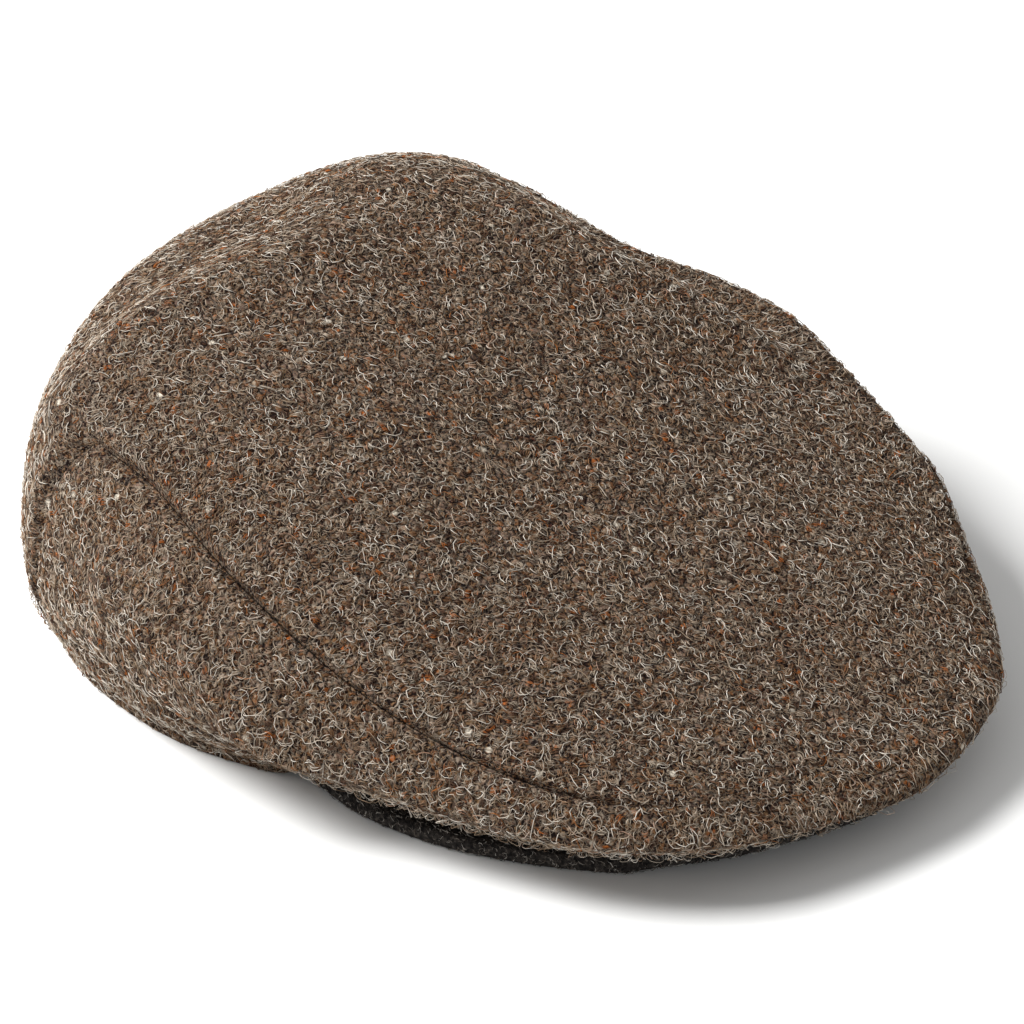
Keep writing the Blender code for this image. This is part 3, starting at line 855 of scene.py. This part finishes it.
def fibre_web_group():
    """Thin curled lines where a noise passes through its middle value."""
    tree, get, put = group("fibre_web", (("Place", VECTOR), ("Curl Size", FLOAT), ("Thin", FLOAT)), ("Mask",))
    scale = calc(tree, "DIVIDE", 1.0, get["Curl Size"])
    noise = node(tree, "ShaderNodeTexNoise",
                 {"Vector": get["Place"], "Scale": scale, "Detail": 1.0, "Distortion": WEB_BENT})
    away = calc(tree, "ABSOLUTE", calc(tree, "SUBTRACT", noise.outputs[0], NOISE_MIDDLE))
    line = calc(tree, "MULTIPLY", away, get["Thin"])
    tree.links.new(fade(tree, line, *WEB_LINE), put["Mask"])
    return tree


def yarn_group():
    """Short humps of yarn in uneven rows: height of the humps, and a random value for each."""
    sockets = (("Length", VECTOR), ("Place", VECTOR), ("Pitch", FLOAT), ("Uneven", FLOAT))
    tree, get, put = group("yarn_humps", sockets, ("Height", "Tone"))
    scale = calc(tree, "DIVIDE", WANDER_WAVES, get["Pitch"])
    noise = node(tree, "ShaderNodeTexNoise", {"Vector": get["Place"], "Scale": scale, "Detail": 2.0})
    shift = moved_by(tree, noise.outputs["Color"], (-NOISE_MIDDLE,) * 3)
    amount = calc(tree, "MULTIPLY", get["Pitch"], get["Uneven"])
    shift = node(tree, "ShaderNodeVectorMath", {0: shift, "Scale": amount}, operation="SCALE").outputs[0]
    place = moved_by(tree, get["Length"], shift)
    scale = calc(tree, "DIVIDE", 1.0, get["Pitch"])
    inputs = {"Vector": place, "Scale": scale, "Randomness": 1.0}
    edges = node(tree, "ShaderNodeTexVoronoi", inputs, voronoi_dimensions="2D", feature="DISTANCE_TO_EDGE")
    cells = node(tree, "ShaderNodeTexVoronoi", inputs, voronoi_dimensions="2D")
    parts = node(tree, "ShaderNodeSeparateColor", {0: cells.outputs["Color"]})
    tree.links.new(fade(tree, edges.outputs["Distance"], *HUMP_HEIGHT), put["Height"])
    tree.links.new(parts.outputs[0], put["Tone"])
    return tree


def fleck_group():
    """Scattered specks: 1 inside a speck, 0 outside."""
    tree, get, put = group("flecks", (("Place", VECTOR), ("Size", FLOAT), ("Rare", FLOAT)), ("Mask",))
    scale = calc(tree, "DIVIDE", 1.0, get["Size"])
    cells = node(tree, "ShaderNodeTexVoronoi", {"Vector": get["Place"], "Scale": scale, "Randomness": 1.0})
    parts = node(tree, "ShaderNodeSeparateColor", {0: cells.outputs["Color"]})
    chosen = calc(tree, "GREATER_THAN", parts.outputs[0], get["Rare"])
    near = fade(tree, cells.outputs["Distance"], *FLECK_EDGE)
    tree.links.new(calc(tree, "MULTIPLY", chosen, near), put["Mask"])
    return tree


def use(tree, made, **inputs):
    placed = tree.nodes.new("ShaderNodeGroup")
    placed.node_tree = made
    for key, value in inputs.items():
        socket = placed.inputs[key.replace("_", " ").title()]
        if isinstance(value, bpy.types.NodeSocket):
            tree.links.new(value, socket)
        else:
            socket.default_value = value
    return placed.outputs


def new_material(name):
    made = bpy.data.materials.new(name)
    made.use_nodes = True
    tree = made.node_tree
    shader = tree.nodes["Principled BSDF"]
    shader.inputs["Specular IOR Level"].default_value = WOOL_SHINE
    return made, tree, shader


def tone_colour(tree, value, tones):
    ramp = node(tree, "ShaderNodeValToRGB", {0: value})
    stops = ramp.color_ramp.elements
    for index, row in enumerate(tones):
        stop = stops[index] if index < 2 else stops.new(row.at)
        stop.position = row.at
        stop.color = row.colour
    return ramp.outputs[0]


def drawn_web(tree, web, row, place):
    return use(tree, web, place=place, curl_size=row.curl_size, thin=row.thin)["Mask"]


def with_flecks(tree, flecks, row, place, colour):
    mask = use(tree, flecks, place=place, size=row.size, rare=row.rare)["Mask"]
    return blend(tree, calc(tree, "MULTIPLY", mask, row.cover), colour, row.colour)


def tweed(name, web, yarns, flecks):
    """Humps of brown yarn with rust, maroon and cream flecks, painted shade in the gaps between the humps,
    and thin light fibres over them.
    """
    made, tree, shader = new_material(name)
    place = node(tree, "ShaderNodeTexCoord").outputs["Object"]
    length = node(tree, "ShaderNodeUVMap", uv_map="cloth_length").outputs[0]
    second = moved_by(tree, place, SECOND_AWAY)
    third = moved_by(tree, place, THIRD_AWAY)

    yarn = use(tree, yarns, length=length, place=place, pitch=YARN_PITCH, uneven=YARN_WANDER)
    colour = tone_colour(tree, yarn["Tone"], YARN_TONES)
    colour = with_flecks(tree, flecks, RUST_FLECK, place, colour)
    colour = with_flecks(tree, flecks, MAROON_FLECK, second, colour)
    streak = fade(tree, noise_value(tree, place, *STREAK_NOISE), *STREAK_SHADE)
    colour = blend(tree, 1.0, colour, streak, kind="MULTIPLY")
    # painted shade in the gaps between the humps of yarn, darkest where the humps are lowest
    gap = fade(tree, yarn["Height"], *HUMP_GAP_PAINTED_SHADE)
    colour = blend(tree, gap, colour, GAP_PAINTED_SHADE)

    brown_lines = drawn_web(tree, web, BROWN_WEB, third)
    colour = blend(tree, calc(tree, "MULTIPLY", brown_lines, BROWN_COVER), colour, FIBRE_BROWN)
    wide_lines = drawn_web(tree, web, WIDE_WEB, place)
    lines = calc(tree, "MAXIMUM", wide_lines, drawn_web(tree, web, TIGHT_WEB, second))
    thinned = fade(tree, noise_value(tree, second, *THINNING_NOISE), *THINNING)
    lines = calc(tree, "MULTIPLY", lines, thinned)
    colour = blend(tree, calc(tree, "MULTIPLY", lines, GREY_COVER), colour, FIBRE_GREY)
    colour = with_flecks(tree, flecks, CREAM_FLECK, second, colour)

    height = calc(tree, "ADD", yarn["Height"], calc(tree, "MULTIPLY", lines, WEB_HEIGHT))
    inputs = {"Height": height, "Distance": WEAVE_DEPTH, "Strength": WEAVE_STRENGTH}
    bump = node(tree, "ShaderNodeBump", inputs)
    tree.links.new(colour, shader.inputs["Base Color"])
    tree.links.new(fade(tree, lines, *TWEED_ROUGHNESS), shader.inputs["Roughness"])
    tree.links.new(bump.outputs[0], shader.inputs["Normal"])
    return made


def peak_wool(web):
    """Fine dark wool with sparse lighter fibres."""
    made, tree, shader = new_material("peak_fine_wool")
    place = node(tree, "ShaderNodeTexCoord").outputs["Object"]
    lines = drawn_web(tree, web, PEAK_WEB, place)
    patch = noise_value(tree, place, *PEAK_NOISE)
    colour = blend(tree, fade(tree, patch, *PEAK_PATCH), PEAK_DARK, PEAK_LIGHT)
    sparse = fade(tree, patch, *PEAK_COVER)
    colour = blend(tree, calc(tree, "MULTIPLY", lines, sparse), colour, PEAK_THREAD)
    inputs = {"Height": lines, "Distance": PEAK_NAP_DEPTH, "Strength": PEAK_NAP_STRENGTH}
    bump = node(tree, "ShaderNodeBump", inputs)
    tree.links.new(colour, shader.inputs["Base Color"])
    tree.links.new(bump.outputs[0], shader.inputs["Normal"])
    shader.inputs["Roughness"].default_value = PEAK_ROUGHNESS
    return made


def fibre_wool(name, tones):
    """Single wool fibres, each with its own tone."""
    made, tree, shader = new_material(name)
    tone = node(tree, "ShaderNodeAttribute", attribute_name="strand_tone").outputs["Fac"]
    place = node(tree, "ShaderNodeTexCoord").outputs["Object"]
    shade = fade(tree, noise_value(tree, place, *FIBRE_NOISE), *FIBRE_SHADE)
    colour = blend(tree, 1.0, tone_colour(tree, tone, tones), shade, kind="MULTIPLY")
    tree.links.new(colour, shader.inputs["Base Color"])
    shader.inputs["Roughness"].default_value = FIBRE_ROUGHNESS
    return made


# Camera, floor and lights
VIEW_AZIMUTH = -48.5
VIEW_ELEVATION = 33.0
VIEW_DISTANCE = 1.4
VIEW_TARGET = (0.0005, 0.0011, 0.045)
VIEW_LENS = 186.7
FRAME_PIXELS = 1024
SHIFT_RIGHT = 8         # pixels that the cap lies right of the frame's middle
SHIFT_UP = 14           # and above it
FAR_CLIP = 20.0         # farthest that the camera sees
FLOOR_SIZE = 12.0
FLOOR_DROP = 0.0002     # so that the floor and the hem's cut edge don't share a plane
FLOOR_WHITE = (0.82, 0.82, 0.81, 1)
FLOOR_ROUGHNESS = 0.9


def way_to(azimuth, elevation):
    """Direction from the cap to a place at these angles, with 0 azimuth in front of the peak."""
    azimuth = math.radians(azimuth)
    elevation = math.radians(elevation)
    level = math.cos(elevation)
    return np.array([math.sin(azimuth) * level, -math.cos(azimuth) * level, math.sin(elevation)])


def add_camera():
    back = way_to(VIEW_AZIMUTH, VIEW_ELEVATION)
    right = way_to(VIEW_AZIMUTH + 90, 0)
    matrix = np.eye(4)
    matrix[:3, 0] = right
    matrix[:3, 1] = np.cross(back, right)
    matrix[:3, 2] = back
    matrix[:3, 3] = np.array(VIEW_TARGET) + back * VIEW_DISTANCE
    data = bpy.data.cameras.new("camera")
    data.lens = VIEW_LENS
    data.shift_x = -SHIFT_RIGHT / FRAME_PIXELS
    data.shift_y = -SHIFT_UP / FRAME_PIXELS
    data.clip_end = FAR_CLIP
    camera = bpy.data.objects.new("camera", data)
    camera.matrix_world = Matrix(matrix.tolist())
    bpy.context.scene.collection.objects.link(camera)
    bpy.context.scene.camera = camera


Lamp = namedtuple("Lamp", "name azimuth elevation distance size power")
LAMPS = (
    Lamp("key", -132, 50, 1.6, 0.7, 42),
)
WORLD_LIGHT = 0.54


def add_lights():
    for lamp in LAMPS:
        data = bpy.data.lights.new(lamp.name, "AREA")
        data.size = lamp.size
        data.energy = lamp.power
        light = bpy.data.objects.new(lamp.name, data)
        light.location = way_to(lamp.azimuth, lamp.elevation) * lamp.distance
        light.rotation_euler = (math.radians(90 - lamp.elevation), 0, math.radians(lamp.azimuth))
        bpy.context.scene.collection.objects.link(light)
    world = bpy.data.worlds.new("studio")
    world.use_nodes = True
    background = world.node_tree.nodes["Background"]
    background.inputs["Color"].default_value = (1, 1, 1, 1)
    background.inputs["Strength"].default_value = WORLD_LIGHT
    bpy.context.scene.world = world


def add_floor():
    bpy.ops.mesh.primitive_plane_add(size=FLOOR_SIZE, location=(0, 0, -FLOOR_DROP))
    floor = bpy.context.object
    floor.name = "floor"
    made, _, shader = new_material("pale_floor")
    shader.inputs["Base Color"].default_value = FLOOR_WHITE
    shader.inputs["Roughness"].default_value = FLOOR_ROUGHNESS
    floor.data.materials.append(made)


def main():
    bpy.context.scene.view_settings.view_transform = "Standard"
    add_camera()
    add_lights()
    add_floor()
    web = fibre_web_group()
    weave = yarn_group()
    flecks = fleck_group()
    tweed_top = tweed("top_panel_tweed", web, weave, flecks)
    tweed_side = tweed("side_band_tweed", web, weave, flecks)
    wools = {
        "yarn": fibre_wool("tweed_strokes", STROKE_TONES),
        "loose": fibre_wool("tweed_fibres", FIBRE_TONES),
        "peak": fibre_wool("peak_fibres", PEAK_FIBRE_TONES),
    }

    top = cloth_wall("top_panel_cloth", top_grid(), TOP_SEWN, tweed_top)
    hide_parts("top_panel")
    band = cloth_wall("side_band_cloth", band_grid(), BAND_SEWN, tweed_side)
    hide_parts("side_band")
    peak = peak_board("peak_cloth", peak_wool(web))
    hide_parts("peak")

    for seed, strands in enumerate(STRANDS):
        piece = fibre_piece(strands, wools[strands.wool], seed)


main()
